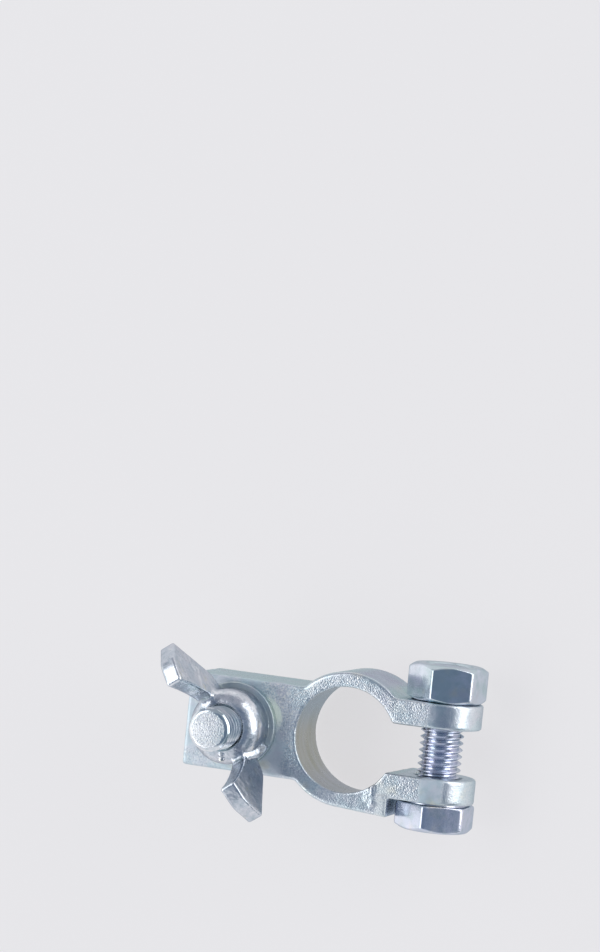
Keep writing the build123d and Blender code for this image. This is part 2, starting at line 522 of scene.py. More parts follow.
class ThreadTree:
    """The Geometry Nodes tree that forms a threaded rod along the Z axis."""

    COLUMNS = 72
    ROWS_PER_TURN = 14
    SPARE_TURNS = 3.0  # turns of the grid that close on the rod's two ends
    SLOPE = math.sqrt(3)  # how fast a 60 degree thread's flank rises

    def __init__(self) -> None:
        """Builds the tree once; form() runs it for each thread."""
        build = GeometryTree("screw_thread")
        crest, root, sharp, pitch, softness, base, top = build.numbers(
            "Crest Radius", "Root Radius", "Sharp Radius", "Pitch", "Softness", "Base", "Top"
        )
        base_land, top_land, top_face, top_slope, top_bevel = build.numbers(
            "Base Land", "Top Land", "Top Face Radius", "Top Chamfer Slope", "Top Bevel"
        )
        (rows,) = build.numbers("Rows", kind=Kind.COUNT)
        grid = build.node(
            "GeometryNodeMeshGrid", Size_X=1.0, Size_Y=1.0, Vertices_X=self.COLUMNS + 1, Vertices_Y=rows
        )
        spot = build.node("ShaderNodeSeparateXYZ", Vector=build.node("GeometryNodeInputPosition").outputs[0])
        turn = Value(build.tree, spot.outputs["X"]) + 0.5
        row = ((Value(build.tree, spot.outputs["Y"]) + 0.5) * (rows - 1.0)).math("ROUND")
        along = base + (row / self.ROWS_PER_TURN - self.SPARE_TURNS / 2 + turn) * pitch
        height = along.math("MAXIMUM", base).math("MINIMUM", top)
        phase = (height / pitch - turn).math("FRACT")
        flank = sharp - (phase - 0.5).math("ABSOLUTE") * pitch * self.SLOPE
        # The groove runs out on the lands at both ends
        from_top, from_base = top - height, height - base
        cut_in = ((from_top - top_land) / pitch).math("MINIMUM", (from_base - base_land) / pitch)
        depth = (crest - root) * cut_in.math("MAXIMUM", 0.0).math("MINIMUM", 1.0)
        radius = flank.math("SMOOTH_MIN", crest, softness).math("SMOOTH_MAX", crest - depth, softness)
        # The ends are turned down, the upper one twice
        for face in (top_face + from_top * top_slope, crest - top_bevel + from_top, crest + from_base):
            radius = radius.math("MINIMUM", face)
        # The first and the last row close on the axis
        radius = radius * (row.math("GREATER_THAN", 0.5) * row.math("LESS_THAN", rows - 1.5))
        angle = turn * (2 * math.pi)
        x, y = radius * angle.math("COSINE"), radius * angle.math("SINE")
        place = build.node("ShaderNodeCombineXYZ", X=x, Y=y, Z=height)
        moved = build.node(
            "GeometryNodeSetPosition", Geometry=grid.outputs["Mesh"], Position=place.outputs[0]
        )
        merged = build.node("GeometryNodeMergeByDistance", Geometry=moved.outputs[0], Distance=0.001 * MM)
        build.finish(merged.outputs[0])
        self.build = build

    def form(
        self,
        size: ThreadSize,
        base: float,
        top: float,
        material: bpy.types.Material,
        end_chamfer: Point = (0.0, 1.0 * MM),
        end_bevel: float = 0.0,
        lands: Point | None = None,
        clearance: float = 0.0,
    ) -> bpy.types.Mesh:
        """Forms a threaded rod, or with a clearance the tap that cuts a nut's thread.

        Args:
            size: The thread's sizes.
            base: Where it starts along the axis.
            top: Where it ends.
            material: Its finish.
            end_chamfer: How far its end is turned down, across and along the axis.
            end_bevel: How far down from its end a second bevel at 45 degrees starts.
            lands: How far from its base and top the thread is cut in. None cuts it to the ends.
            clearance: How much larger than the rod it is all over.

        Returns:
            A closed mesh, its axis on Z.
        """
        turns = (top - base) / size.pitch
        base_land, top_land = lands or (-size.pitch, -size.pitch)
        chamfer_width, chamfer_length = end_chamfer
        crest = size.crest_radius + clearance
        mesh = self.build.run(
            new_object("thread_host", bpy.data.meshes.new("thread_host")),
            Crest_Radius=crest,
            Root_Radius=size.root_radius + clearance,
            Sharp_Radius=size.sharp_radius + 2 * clearance,
            Pitch=size.pitch,
            Softness=size.softness,
            Base=base,
            Top=top,
            Base_Land=base_land,
            Top_Land=top_land,
            Top_Face_Radius=crest - chamfer_width,
            Top_Chamfer_Slope=chamfer_width / chamfer_length,
            Top_Bevel=end_bevel,
            Rows=math.ceil((turns + self.SPARE_TURNS) * self.ROWS_PER_TURN),
            Material=material,
        )
        face_outwards(mesh)
        return mesh


# ---------------------------------------------------------------- finishes


class Shader(NodeTree):
    """A material's node tree, with its patterns on Object coordinates."""

    def __init__(self, name: str) -> None:
        """Starts a material with its Principled shader.

        Args:
            name: The material's name.
        """
        self.material = bpy.data.materials.new(name)
        self.material.use_nodes = True
        super().__init__(self.material.node_tree)
        self.surface = self.tree.nodes["Principled BSDF"]
        self.coordinates = self.node("ShaderNodeTexCoord").outputs["Object"]

    def pattern(self, kind: str, size: float, stretch: Triple, shift: float) -> bpy.types.Node:
        """Adds a texture node.

        Args:
            kind: The node's type name.
            size: Size of its features, in metres.
            stretch: How much longer they are along each axis.
            shift: Moves the pattern, so that two of one size differ.

        Returns:
            The node.
        """
        scale = [1 / (size * s) for s in stretch]
        mapping = self.node("ShaderNodeMapping", Vector=self.coordinates, Location=(shift,) * 3, Scale=scale)
        return self.node(kind, Vector=mapping.outputs[0], Scale=1.0)

    def noise(
        self, grain: float, detail: float = 2.0, stretch: Triple = (1.0, 1.0, 1.0), shift: float = 0.0
    ) -> Value:
        """Adds a noise pattern.

        Args:
            grain: Size of its largest features, in metres.
            detail: How many finer layers it has.
            stretch: How much longer its features are along each axis.
            shift: Moves the pattern, so that two of one grain differ.

        Returns:
            The pattern, about 0.5 on average.
        """
        node = self.pattern("ShaderNodeTexNoise", grain, stretch, shift)
        node.inputs["Detail"].default_value = detail
        return Value(self.tree, node.outputs[0])

    def dimples(self, size: float) -> Value:
        """Adds small round dimples side by side, as blasting leaves them.

        Args:
            size: How far apart they are, in metres.

        Returns:
            The depth, 0 in the middle of a dimple and about 0.5 where two meet.
        """
        node = self.pattern("ShaderNodeTexVoronoi", size, (1.0, 1.0, 1.0), 0.0)
        node.feature = "SMOOTH_F1"
        node.inputs["Smoothness"].default_value = 0.25
        return Value(self.tree, node.outputs["Distance"])

    def painted(self, name: str) -> Value:
        """Reads a number that the piece's mesh carries at its points."""
        node = self.node("ShaderNodeAttribute", {"attribute_name": name})
        return Value(self.tree, node.outputs["Fac"])

    def relief(self, height: Value, depth: float, under: object = None) -> bpy.types.NodeSocket:
        """Adds a bump.

        Args:
            height: The pattern that is raised.
            depth: How high 1 stands, in metres.
            under: The normal of a coarser bump, if there is one.

        Returns:
            The bumped normal's socket.
        """
        coarser = {} if under is None else {"Normal": under}
        return self.node("ShaderNodeBump", Distance=depth, Height=height, **coarser).outputs[0]


@dataclass(frozen=True)
class ZincFinish:
    """Bright zinc plating with its bluish passivation, on a blasted or a smooth surface."""

    name: str
    steel: Colour = (0.70, 0.735, 0.78)
    teal: Colour = (0.62, 0.72, 0.75)
    lilac: Colour = (0.69, 0.71, 0.77)
    straw: Colour = (0.77, 0.77, 0.70)
    shadow: Colour = (0.54, 0.64, 0.68)
    # painted glints for the sparkle of the blasted grain, and painted shade in its pits
    fleck: Colour = (0.90, 0.90, 0.88)
    pit: Colour = (0.50, 0.55, 0.59)
    # painted light: a reflection crescent beside the washer, and the lit rib
    worn: Colour = (0.97, 1.0, 0.95)
    # painted shade: darkens glancing reflections, for the shaded floor beside the piece
    glancing: Colour = (0.58, 0.64, 0.68)
    mint: Colour = (0.58, 0.73, 0.72)
    violet: Colour = (0.61, 0.60, 0.70)
    # the bore's tints, darker than the plating: partly its own olive and bluish colour, partly painted shade
    # in the recess
    bore: Colour = (0.48, 0.46, 0.36)
    bore_light: Colour = (0.64, 0.63, 0.62)
    bore_cool: Colour = (0.50, 0.57, 0.63)
    cloud: float = 5.0 * MM
    streak: float = 2.2 * MM
    grain: float = 0.24 * MM
    grain_depth: float = 0.045 * MM
    smooth_depth: float = 0.004 * MM
    dent: float = 1.7 * MM
    dent_depth: float = 0.03 * MM
    rough: float = 0.30
    smooth: float = 0.16
    dull: float = 0.75
    patchiness: float = 0.14

    def colour(self, shader: Shader) -> bpy.types.NodeSocket:
        """Builds the tints, with painted glints and pit shade where it is blasted, painted light beside the
        washer, and the tints of the outside walls and of the bore, with the bore's painted shade, on top.

        Args:
            shader: The material's tree.

        Returns:
            The colour's socket.
        """
        tint: object = self.steel
        for other, low, high, shift in (
            (self.teal, 0.42, 0.6, 0.0),
            (self.lilac, 0.54, 0.72, 7.0),
            (self.straw, 0.58, 0.75, 13.0),
        ):
            tint = shader.mixed(shader.noise(self.cloud, 3.0, shift=shift).step(low, high), tint, other)
        mottle = shader.noise(self.cloud * 0.3, 5.0, shift=31.0)
        tint = shader.mixed(mottle.step(0.45, 0.75) * 0.6, tint, self.shadow)
        blasted = shader.painted("polish") * -1.0 + 1.0
        # Painted glints: bright flecks stand in for the sparkle of the blasted grain, and the darker pits are
        # painted shade
        glint_noise = shader.noise(self.grain * 1.2, 3.0, shift=17.0)
        tint = shader.mixed(glint_noise.step(0.5, 0.64) * blasted, tint, self.fleck)
        tint = shader.mixed(glint_noise.step(0.46, 0.34) * blasted, tint, self.pit)
        # Painted light: the pale reflection crescent beside the washer and the pale rib
        tint = shader.mixed(shader.painted("pale"), tint, self.worn)
        wall = shader.mixed(shader.painted("violet"), self.mint, self.violet)
        cover = shader.noise(self.cloud * 0.8, 2.0, shift=23.0).step(0.35, 0.65) * 0.5 + 0.4
        tint = shader.mixed(shader.painted("wall") * cover, tint, wall)
        # The bore: its own streaky olive, bluish and violet tints, darkened as painted shade in the recess
        streaks = shader.noise(self.streak, 3.0, stretch=(6.0, 6.0, 1.0), shift=5.0)
        bore = shader.mixed(streaks.step(0.3, 0.7) * 0.55 + 0.2, self.bore, self.bore_light)
        bore = shader.mixed(shader.painted("cool"), bore, self.bore_cool)
        bore = shader.mixed(shader.painted("violet") * 0.35, bore, self.violet)
        return shader.mixed(shader.painted("bore"), tint, bore)

    def material(self) -> bpy.types.Material:
        """Builds the material.

        It reads these from the mesh: polish, where 0 is blasted and 1 is smooth, dull, pale, wall,
        violet, bore and cool.

        Returns:
            The material.
        """
        shader = Shader(self.name)
        surface = shader.surface
        polish = shader.painted("polish")
        plug(shader.tree, surface.inputs["Base Color"], self.colour(shader))
        surface.inputs["Metallic"].default_value = 1.0
        # Specular Tint darkens glancing reflections: painted shade for the shaded floor beside the piece that
        # they mirror
        surface.inputs["Specular Tint"].default_value = (*self.glancing, 1.0)
        patchy = (shader.noise(self.cloud * 0.4, 4.0, shift=21.0) - 0.5) * self.patchiness
        roughness = polish * (self.smooth - self.rough) + self.rough + patchy
        roughness = roughness + shader.painted("dull") * (self.dull - self.smooth)
        plug(shader.tree, surface.inputs["Roughness"], roughness)
        least = self.smooth_depth / self.grain_depth
        dents = shader.relief(shader.noise(self.dent, 2.0, shift=9.0), self.dent_depth)
        grain = shader.noise(self.grain * 1.3, 3.0, shift=3.0) * 0.6 - shader.dimples(self.grain)
        height = grain * (polish * (least - 1.0) + 1.0)
        plug(shader.tree, surface.inputs["Normal"], shader.relief(height, self.grain_depth, dents))
        return shader.material


CAST_ZINC = ZincFinish(
    "cast_zinc",
    steel=(0.735, 0.775, 0.82),
    teal=(0.66, 0.76, 0.80),
    smooth=0.26,
    smooth_depth=0.003 * MM,
    dent_depth=0.06 * MM,
)
BOLT_ZINC = ZincFinish(
    "bolt_zinc",
    steel=(0.79, 0.79, 0.9),
    teal=(0.7, 0.74, 0.85),
    straw=(0.8, 0.78, 0.8),
    smooth=0.2,
)
NUT_ZINC = ZincFinish("nut_zinc", steel=(0.75, 0.79, 0.87))
STUD_ZINC = ZincFinish(
    "stud_zinc",
    steel=(0.88, 0.90, 0.92),
    # the painted shade in the pits is lighter on the stud
    pit=(0.66, 0.68, 0.72),
    rough=0.4,
    grain_depth=0.09 * MM,
)
WASHER_ZINC = ZincFinish("washer_zinc", steel=(0.74, 0.79, 0.76), smooth=0.38)
WING_ZINC = ZincFinish(
    "wing_zinc",
    steel=(0.71, 0.73, 0.78),
    teal=(0.64, 0.69, 0.75),
    lilac=(0.90, 0.92, 0.95),
    cloud=2.8 * MM,
    # darker painted shade on the wing's glancing faces
    glancing=(0.50, 0.53, 0.58),
    shadow=(0.42, 0.50, 0.55),
    smooth=0.25,
    dent=1.2 * MM,
    dent_depth=0.10 * MM,
)


# ---------------------------------------------------------------- pieces


class Body(Enum):
    """The bodies that pieces ride on."""

    CLAMP = "clamp"
    CROSS_BOLT = "cross_bolt"
    CROSS_NUT = "cross_nut"
    WASHER = "washer"
    WING = "wing"


class Slot(Enum):
    """The material slots of the CAD model."""

    CAST = "cast_zinc_plated"
    BOLT = "bolt_zinc_plated"
    WASHER = "washer_zinc_plated"
    WING = "wing_zinc_plated"


@dataclass(frozen=True)
class Place:
    """Where a piece's CAD node stands, and which body and material slot it has."""

    node: str
    body: Body
    slot: Slot

    @property
    def low(self) -> Vector:
        """Lowest corner of the node's box."""
        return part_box(self.node)[0]

    @property
    def high(self) -> Vector:
        """Highest corner of the node's box."""
        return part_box(self.node)[1]

    @property
    def middle(self) -> Vector:
        """Centre of the node's box."""
        return (self.low + self.high) / 2

    def stand_in(self, name: str, mesh: bpy.types.Mesh) -> None:
        """Puts a finished mesh in the node's place, and reports it.

        Args:
            name: The new piece's name.
            mesh: Its mesh, in the frame's own coordinates, with its finish.
        """
        mesh.name = name
        piece = new_object(name, mesh)
        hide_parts(self.node)
        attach(piece, self.body.value)
        mesh.calc_loop_triangles()
        finishes = ", ".join(m.name for m in mesh.materials)
        log.info("%s: %d triangles, %s, on %s", name, len(mesh.loop_triangles), finishes, self.body.value)


@dataclass(frozen=True)
class Hexagon:
    """A hexagon as bolts and nuts have it, with its far corners turned off."""

    across_flats: float = 13.0 * MM
    corner_round: float = 0.8 * MM
    face_inset: float = 0.4 * MM
    chamfer_slope: float = math.tan(math.radians(30))
    edge_round: float = 0.3 * MM
    columns: int = 216

    @property
    def face_radius(self) -> float:
        """Radius of the round face that the turned corners leave."""
        return self.across_flats / 2 - self.face_inset

    def side(self, angle: float, turn: float) -> tuple[float, float]:
        """Measures the hexagon in one direction from its axis.

        Args:
            angle: The direction, in radians.
            turn: Angle of one of its upright corners, in radians.

        Returns:
            The side's distance from the axis, and how far the chamfer drops there.
        """
        sixth = math.pi / 3
        from_corner = (angle - turn + sixth / 2) % sixth - sixth / 2
        half = self.across_flats / 2
        to_centre = (half - self.corner_round) / math.cos(sixth / 2)
        tangent = math.atan2((half - self.corner_round) * math.tan(sixth / 2), half)
        if abs(from_corner) > abs(sixth / 2 - tangent):
            radius = half / math.cos(sixth / 2 - abs(from_corner))
        else:
            across = to_centre * math.sin(from_corner)
            radius = to_centre * math.cos(from_corner) + math.sqrt(self.corner_round**2 - across**2)
        return radius, (radius - self.face_radius) * self.chamfer_slope


@dataclass(frozen=True)
class Bolt:
    """A hexagon bolt threaded up to its head. Its axis is Z, and the head's seat is at 0."""

    head_height: float = 5.3 * MM
    head_foot_round: float = 0.8 * MM
    pad_height: float = 0.3 * MM
    pad_inset: float = 0.6 * MM
    lands: Point = (1.2 * MM, 0.7 * MM)
    end_chamfer: Point = (0.95 * MM, 0.31 * MM)
    end_bevel: float = 0.56 * MM
    hexagon: Hexagon = Hexagon()
    thread: ThreadSize = ThreadSize()

    def head_section(self, angle: float) -> list[Point]:
        """Draws the head's section in one direction from the axis.

        Args:
            angle: The direction, in radians.

        Returns:
            Pairs of radius and height.
        """
        side, drop = self.hexagon.side(angle, 0.0)
        pad = self.hexagon.across_flats / 2 - self.pad_inset
        soft = self.hexagon.edge_round
        corners = [
            Corner(0.0, -self.head_height),
            Corner(self.hexagon.face_radius, -self.head_height, soft),
            Corner(side, drop - self.head_height, soft),
            Corner(side, -self.pad_height, self.head_foot_round),
            Corner(pad, -self.pad_height, soft / 4),
            Corner(pad, 0.0, soft / 4),
            Corner(0.0, 0.0),
        ]
        return rounded_section(corners, steps=4, closed=False)

    def mesh(self, threads: ThreadTree, length: float, material: bpy.types.Material) -> bpy.types.Mesh:
        """Makes the bolt.

        Args:
            threads: The tree that forms its thread.
            length: From its seat to its end.
            material: Its finish.

        Returns:
            A closed mesh.
        """
        head = lathe(self.head_section, self.hexagon.columns, closed=False)
        head.materials.append(material)
        shank = threads.form(
            self.thread, -self.pad_height, length, material, self.end_chamfer, self.end_bevel, self.lands
        )
        return cut(head, shank, Cut.JOIN)


@dataclass(frozen=True)
class Nut:
    """A hexagon nut, its axis Z and its lower face at 0."""

    height: float = 6.8 * MM
    countersink: float = 0.45 * MM
    hexagon: Hexagon = Hexagon()
    thread: ThreadSize = ThreadSize()
    thread_gap: float = 0.05 * MM

    @property
    def bore_radius(self) -> float:
        """Radius of the bore between the thread's grooves."""
        return self.thread.root_radius + self.thread_gap

    @property
    def mouth_radius(self) -> float:
        """Radius of the countersink at each face."""
        return self.thread.crest_radius + self.countersink

    def section(self, angle: float, turn: float) -> list[Point]:
        """Draws the nut's section in one direction from the axis.

        Args:
            angle: The direction, in radians.
            turn: Angle of one of its upright corners, in radians.

        Returns:
            Pairs of radius and height.
        """
        side, drop = self.hexagon.side(angle, turn)
        soft = self.hexagon.edge_round
        depth = self.mouth_radius - self.bore_radius
        corners = [
            Corner(self.bore_radius, depth),
            Corner(self.mouth_radius, 0.0, soft / 4),
            Corner(self.hexagon.face_radius, 0.0, soft / 2),
            Corner(side, drop, soft),
            Corner(side, self.height - drop, soft),
            Corner(self.hexagon.face_radius, self.height, soft),
            Corner(self.mouth_radius, self.height, soft / 4),
            Corner(self.bore_radius, self.height - depth),
        ]
        return rounded_section(corners, steps=4, closed=True)

    def tap(
        self, threads: ThreadTree, start: float, height: float, material: bpy.types.Material
    ) -> bpy.types.Mesh:
        """Forms the tap for a nut that starts this far along its bolt, a pitch longer at both ends."""
        base, top = start - self.thread.pitch, start + height + self.thread.pitch
        return threads.form(self.thread, base, top, material, clearance=self.thread_gap)


@dataclass
class SetBolt:
    """A bolt in its place. The two kinds say which way it points and how smooth it is."""

    place: Place
    bolt: Bolt
    name: ClassVar[str]
    axis: ClassVar[int]
    turn: ClassVar[Matrix]

    @property
    def seat(self) -> Matrix:
        """Stands the bolt's axis along its way, with its seat in place."""
        origin = self.place.middle
        origin[self.axis] = self.place.low[self.axis] + self.bolt.head_height
        return Matrix.Translation(origin) @ self.turn

    def polish(self, points: np.ndarray) -> np.ndarray:
        """Tells how smooth the bolt is: 1 all over."""
        return np.ones(len(points))

    def build(self, threads: ThreadTree, finish: ZincFinish) -> None:
        """Makes the bolt and puts it in place.

        Args:
            threads: The tree that forms its thread.
            finish: Its finish.
        """
        length = self.place.high[self.axis] - self.place.low[self.axis] - self.bolt.head_height
        mesh = self.bolt.mesh(threads, length, finish.material())
        mesh.transform(self.seat)
        shade(mesh)
        paint(mesh, "polish", self.polish(points_of(mesh)))
        self.place.stand_in(self.name, mesh)


class PinchBolt(SetBolt):
    """The cross bolt that draws the jaws together, one corner of its head straight up."""

    name = "pinch_bolt_threaded"
    axis = 1
    turn = Matrix(((0, 1, 0), (0, 0, 1), (1, 0, 0))).to_4x4()


class StudBolt(SetBolt):
    """The bolt that stands up through the tang, its head in the pocket underneath."""

    name = "stud_threaded"
    axis = 2
    turn = Matrix.Identity(4)

    def polish(self, points: np.ndarray) -> np.ndarray:
        """Tells how smooth the stud is: 0 on its rough end, 1 below."""
        return ease(points[:, 2], self.place.high.z - 0.005 * MM, self.place.high.z - 0.03 * MM)


@dataclass
class PinchNut:
    """The nut of the cross bolt."""

    place: Place
    nut: Nut
    bolt: PinchBolt
    turn: float = math.radians(-5.9)

    def build(self, threads: ThreadTree, finish: ZincFinish) -> None:
        """Makes the nut and puts it in place.

        Args:
            threads: The tree that forms the tap for its thread.
            finish: Its finish.
        """
        material = finish.material()
        columns = self.nut.hexagon.columns
        blank = lathe(lambda angle: self.nut.section(angle, self.turn), columns, closed=True)
        blank.materials.append(material)
        seat = self.bolt.seat
        start = self.place.low.y - seat.translation.y
        blank.transform(seat @ Matrix.Translation((0, 0, start)))
        tap = self.nut.tap(threads, start, self.nut.height, material)
        tap.transform(seat)
        mesh = cut(blank, tap, Cut.TAKE_AWAY)
        shade(mesh)
        paint_smooth(mesh)
        self.place.stand_in("pinch_nut_threaded", mesh)


@dataclass
class StudWasher:
    """The flat washer under the wing nut, punched from sheet, so that its upper edge is rounder."""

    place: Place
    hole_radius: float = 4.2 * MM
    lower_round: float = 0.1 * MM
    rim_round: float = 0.15 * MM
    upper_round: float = 0.2 * MM
    columns: int = 160

    def build(self, finish: ZincFinish) -> None:
        """Makes the washer and puts it in place.

        Args:
            finish: Its finish.
        """
        low, high = self.place.low, self.place.high
        radius, thickness = (high.x - low.x) / 2, high.z - low.z
        corners = [
            Corner(self.hole_radius, 0.0, self.lower_round),
            Corner(radius, 0.0, self.rim_round),
            Corner(radius, thickness, self.rim_round),
            Corner(self.hole_radius, thickness, self.upper_round),
        ]
        section = rounded_section(corners, steps=5, closed=True)
        mesh = lathe(lambda angle: section, self.columns, closed=True)
        mesh.materials.append(finish.material())
        mesh.transform(Matrix.Translation((self.place.middle.x, self.place.middle.y, low.z)))
        shade(mesh)
        paint_smooth(mesh)
        self.place.stand_in("stud_washer_rounded", mesh)


@dataclass(frozen=True)
class Skin:
    """How uneven a cast or forged surface is. Its fields are the inputs of the skin's tree."""

    wave_size: float
    wave_depth: float
    grain_size: float
    grain_depth: float
    seed: float


class SkinTree:
    """The Geometry Nodes tree that gives a cast or forged piece its slightly uneven skin."""

    def __init__(self) -> None:
        """Builds the tree once; form() runs it for each piece."""
        build = GeometryTree("uneven_skin")
        body = build.take("Body", Kind.MESH)
        wave, wave_depth, grain, grain_depth, seed = build.numbers(
            "Wave Size", "Wave Depth", "Grain Size", "Grain Depth", "Seed"
        )
        place = build.node("GeometryNodeInputPosition").outputs[0]
        polish = build.node("GeometryNodeInputNamedAttribute", {"data_type": "FLOAT"}, Name="polish")
        blasted = Value(build.tree, polish.outputs["Attribute"]) * -1.0 + 1.0
        waves = self.pattern(build, place, wave, seed) * wave_depth
        grains = self.pattern(build, place, grain, seed + 5.0) * grain_depth * (blasted * 0.9 + 0.1)
        along = build.node("ShaderNodeVectorMath", {"operation": "SCALE"}, Scale=waves + grains)
        plug(build.tree, along.inputs[0], build.node("GeometryNodeInputNormal").outputs[0])
        moved = build.node("GeometryNodeSetPosition", Geometry=body, Offset=along.outputs[0])
        build.finish(moved.outputs[0])
        self.build = build

    @staticmethod
    def pattern(build: GeometryTree, place: bpy.types.NodeSocket, size: Value, seed: Value) -> Value:
        """Adds a noise from -0.5 to 0.5.

        Args:
            build: The tree.
            place: Where each point is.
            size: The noise's largest features.
            seed: Which of many like patterns it is.

        Returns:
            The noise.
        """
        node = build.node(
            "ShaderNodeTexNoise",
            {"noise_dimensions": "4D"},
            Vector=place,
            W=seed,
            Scale=size.math("POWER", -1.0),
            Detail=2.0,
        )
        return Value(build.tree, node.outputs[0]) - 0.5

    def form(self, mesh: bpy.types.Mesh, material: bpy.types.Material, skin: Skin) -> bpy.types.Mesh:
        """Moves a dense painted mesh's points along their normals, its grain deep only where blasted."""
        sizes = {name.title(): size for name, size in vars(skin).items()}
        return self.build.run(new_object("skin_host", mesh), Material=material, **sizes)


@dataclass(frozen=True)
class Bar:
    """One raised bar of the mark on the casting, from one end of its middle line to the other."""

    start: Point
    end: Point


@dataclass
class Casting:
    """Ring, jaws, rib and tang, cast in one and blasted, with the plus of its pole."""

    place: Place
    voxel: float = 0.235 * MM
    smoothing: int = 1
    bore_base_radius: float = 10.448 * MM
    bore_taper: float = 1 / 18
    height: float = 14.0 * MM
    ring_radius: float = 12.5 * MM
    stud_x: float = -21.354 * MM
    roll_width: float = 1.1 * MM
    roll_depth: float = 0.26 * MM
    mark_width: float = 0.66 * MM
    mark_height: float = 0.30 * MM
    mark: tuple[Bar, Bar] = (
        Bar((6.14 * MM, -7.62 * MM), (6.52 * MM, -11.1 * MM)),
        Bar((5.2 * MM, -9.86 * MM), (8.6 * MM, -9.53 * MM)),
    )
    skin: Skin = Skin(2.6 * MM, 0.10 * MM, 0.5 * MM, 0.03 * MM, 1.0)

    def spots(self, points: np.ndarray) -> np.ndarray:
        """Gives points as x, y and the height over the casting's top, in millimetres."""
        return (points.T - np.array([[0.0], [0.0], [self.height]])) / MM

    def rolled(self, points: np.ndarray) -> np.ndarray:
        """Tells where the ring's outer edge is worn round.

        Args:
            points: The casting's points, in metres.

        Returns:
            A number for each: 1 at the edge, 0 elsewhere.
        """
        x, y, z = self.spots(points)
        angle = np.degrees(np.arctan2(y, x))
        inwards = (self.ring_radius / MM - np.hypot(x, y)) / (self.roll_width / MM)
        stretch = ease(angle, 42.0, 60.0) * ease(angle, 140.0, 134.0)
        stretch = stretch * (0.3 + 0.7 * ease(angle, 80.0, 105.0))
        return stretch * np.clip(1 - inwards, 0, 1) ** 2 * ease(z, -2.0, -1.0)

    def polish(self, points: np.ndarray) -> np.ndarray:
        """Tells how smooth the casting is.

        Args:
            points: Its points, in metres.

        Returns:
            A number for each: 0 where it is blasted, 1 where tools have rubbed it.
        """
        x, y, z = self.spots(points)
        # Round the washer's seat, but for the corner next to the lower wing
        border = np.interp(y, (-6.2, -2.5, 2.7, 7.0), (-11.6, -11.4, -14.5, -17.0))
        corner = ease(x, -22.0, -25.0) * ease(y, -4.5, -6.5)
        seat = ease(x - border, 0.6, -0.8) * (1 - corner)
        end = ease(x, 16.5, 18.5) * np.where(y > 0, 0.26, 0.4)
        upper_jaw = ease(x, 14.6, 16.6) * ease(y, 0.0, 1.0) * (1 - end)
        lower_jaw = ease(x, 14.6, 15.6) * ease(x, 19.8, 18.8) * ease(y, 1.0, 0.0)
        low_ring = 0.5 * ease(y, -4.0, -8.0) * ease(x, 10.0, 6.0)
        walls = ease(z, -0.05, -0.3) * (1 - end)
        mark = 0.35 * ease(z, 0.06, 0.16)
        edge = ease(self.rolled(points), 0.0, 0.2)
        return np.maximum.reduce((seat, upper_jaw, lower_jaw, low_ring, walls, mark, edge))

    def layers(self, points: np.ndarray) -> dict[str, np.ndarray]:
        """Works out where the casting is tinted and where light or shade is painted on it, and where its
        smooth parts are dull.

        Args:
            points: Its points, in metres.

        Returns:
            For each layer of paint, a number from 0 to 1 for each point.
        """
        x, y, z = self.spots(points)
        from_bore = np.hypot(x, y) - (self.bore_base_radius - points[:, 2] * self.bore_taper) / MM
        # Painted light: a pale crescent on the tang beside the washer stands in for a reflection, and the rib
        # is painted pale too
        angle = np.degrees(np.arctan2(y, x - self.stud_x / MM))
        crescent = ease(angle, -8.0, 18.0) * ease(angle, 62.0, 26.0)
        past_rim = np.hypot(x - self.stud_x / MM, y) - 8.1 - crescent * 1.1
        rib = 0.4 * ease(x, 6.6, 7.4) * ease(x, 10.5, 9.0) * ease(y, -6.5, -8.0) * ease(z, -0.5, -0.2)
        pale = np.maximum(crescent * ease(past_rim, 0.2, -0.2), rib)
        # The washer's seat and a patch on the lower jaw have lost their shine
        seat = ease(x, -11.0, -12.5) * (0.4 + 0.35 * ease(y, 2.0, 7.0))
        jaw_patch = ease(x, 14.8, 15.8) * ease(x, 19.8, 19.0) * ease(y, 1.0, 0.0)
        # The outside walls go from mint to violet along the ring, and below the rib
        outside = ease(from_bore, 0.3, 0.6) * ease(y, -7.0, -5.0)
        along = ease(x, 11.5, 9.5) * ease(x, -32.3, -31.0)
        far_ring = ease(x, -1.0, 2.0) * ease(x, 8.0, 6.0)
        return {
            # the bore: its own tints, and painted shade in the recess
            "bore": ease(from_bore, 0.3, 0.12) * ease(z, -0.15, -0.5),
            "cool": 0.85 * ease(y, -1.0, 6.0),
            "dull": ease(z, -1.4, -0.8) * np.maximum(jaw_patch, seat + pale) + 0.05,
            "pale": pale,
            "wall": outside * along * ease(z, -0.3, -0.7),
            "violet": np.where(y < -6.0, ease(y, -6.0, -8.5), far_ring),
        }

    def add_mark(self, mesh: bpy.types.Mesh) -> None:
        """Stands the mark's bars on the casting's top.

        Args:
            mesh: The casting's mesh, which gets the bars as shells of their own.
        """
        deep = self.mark_height * 3
        with editing(mesh) as form:
            for bar in self.mark:
                start, end = Vector(bar.start), Vector(bar.end)
                run = end - start
                size = Matrix.Diagonal((run.length, self.mark_width, deep, 1))
                turn = Matrix.Rotation(math.atan2(run.y, run.x), 4, "Z")
                spot = Matrix.Translation((*((start + end) / 2), self.height + self.mark_height - deep / 2))
                bmesh.ops.create_cube(form, size=1.0, matrix=spot @ turn @ size)

    def roll(self, mesh: bpy.types.Mesh) -> None:
        """Lowers the ring's worn edge."""
        points = points_of(mesh)
        points[:, 2] -= self.roll_depth * self.rolled(points)
        mesh.vertices.foreach_set("co", points.ravel())

    def build(self, skins: SkinTree, finish: ZincFinish) -> None:
        """Makes the casting and puts it in place.

        Args:
            skins: The tree that makes its surface uneven.
            finish: Its finish.
        """
        host = welded_copy(self.place.node)
        self.add_mark(host.data)
        mesh = remeshed(host, self.voxel, self.smoothing)
        paint(mesh, "polish", self.polish(points_of(mesh)))
        self.roll(mesh)
        mesh = skins.form(mesh, finish.material(), self.skin)
        for name, values in self.layers(points_of(mesh)).items():
            paint(mesh, name, values)
        mesh.shade_smooth()
        self.place.stand_in("clamp_casting", mesh)


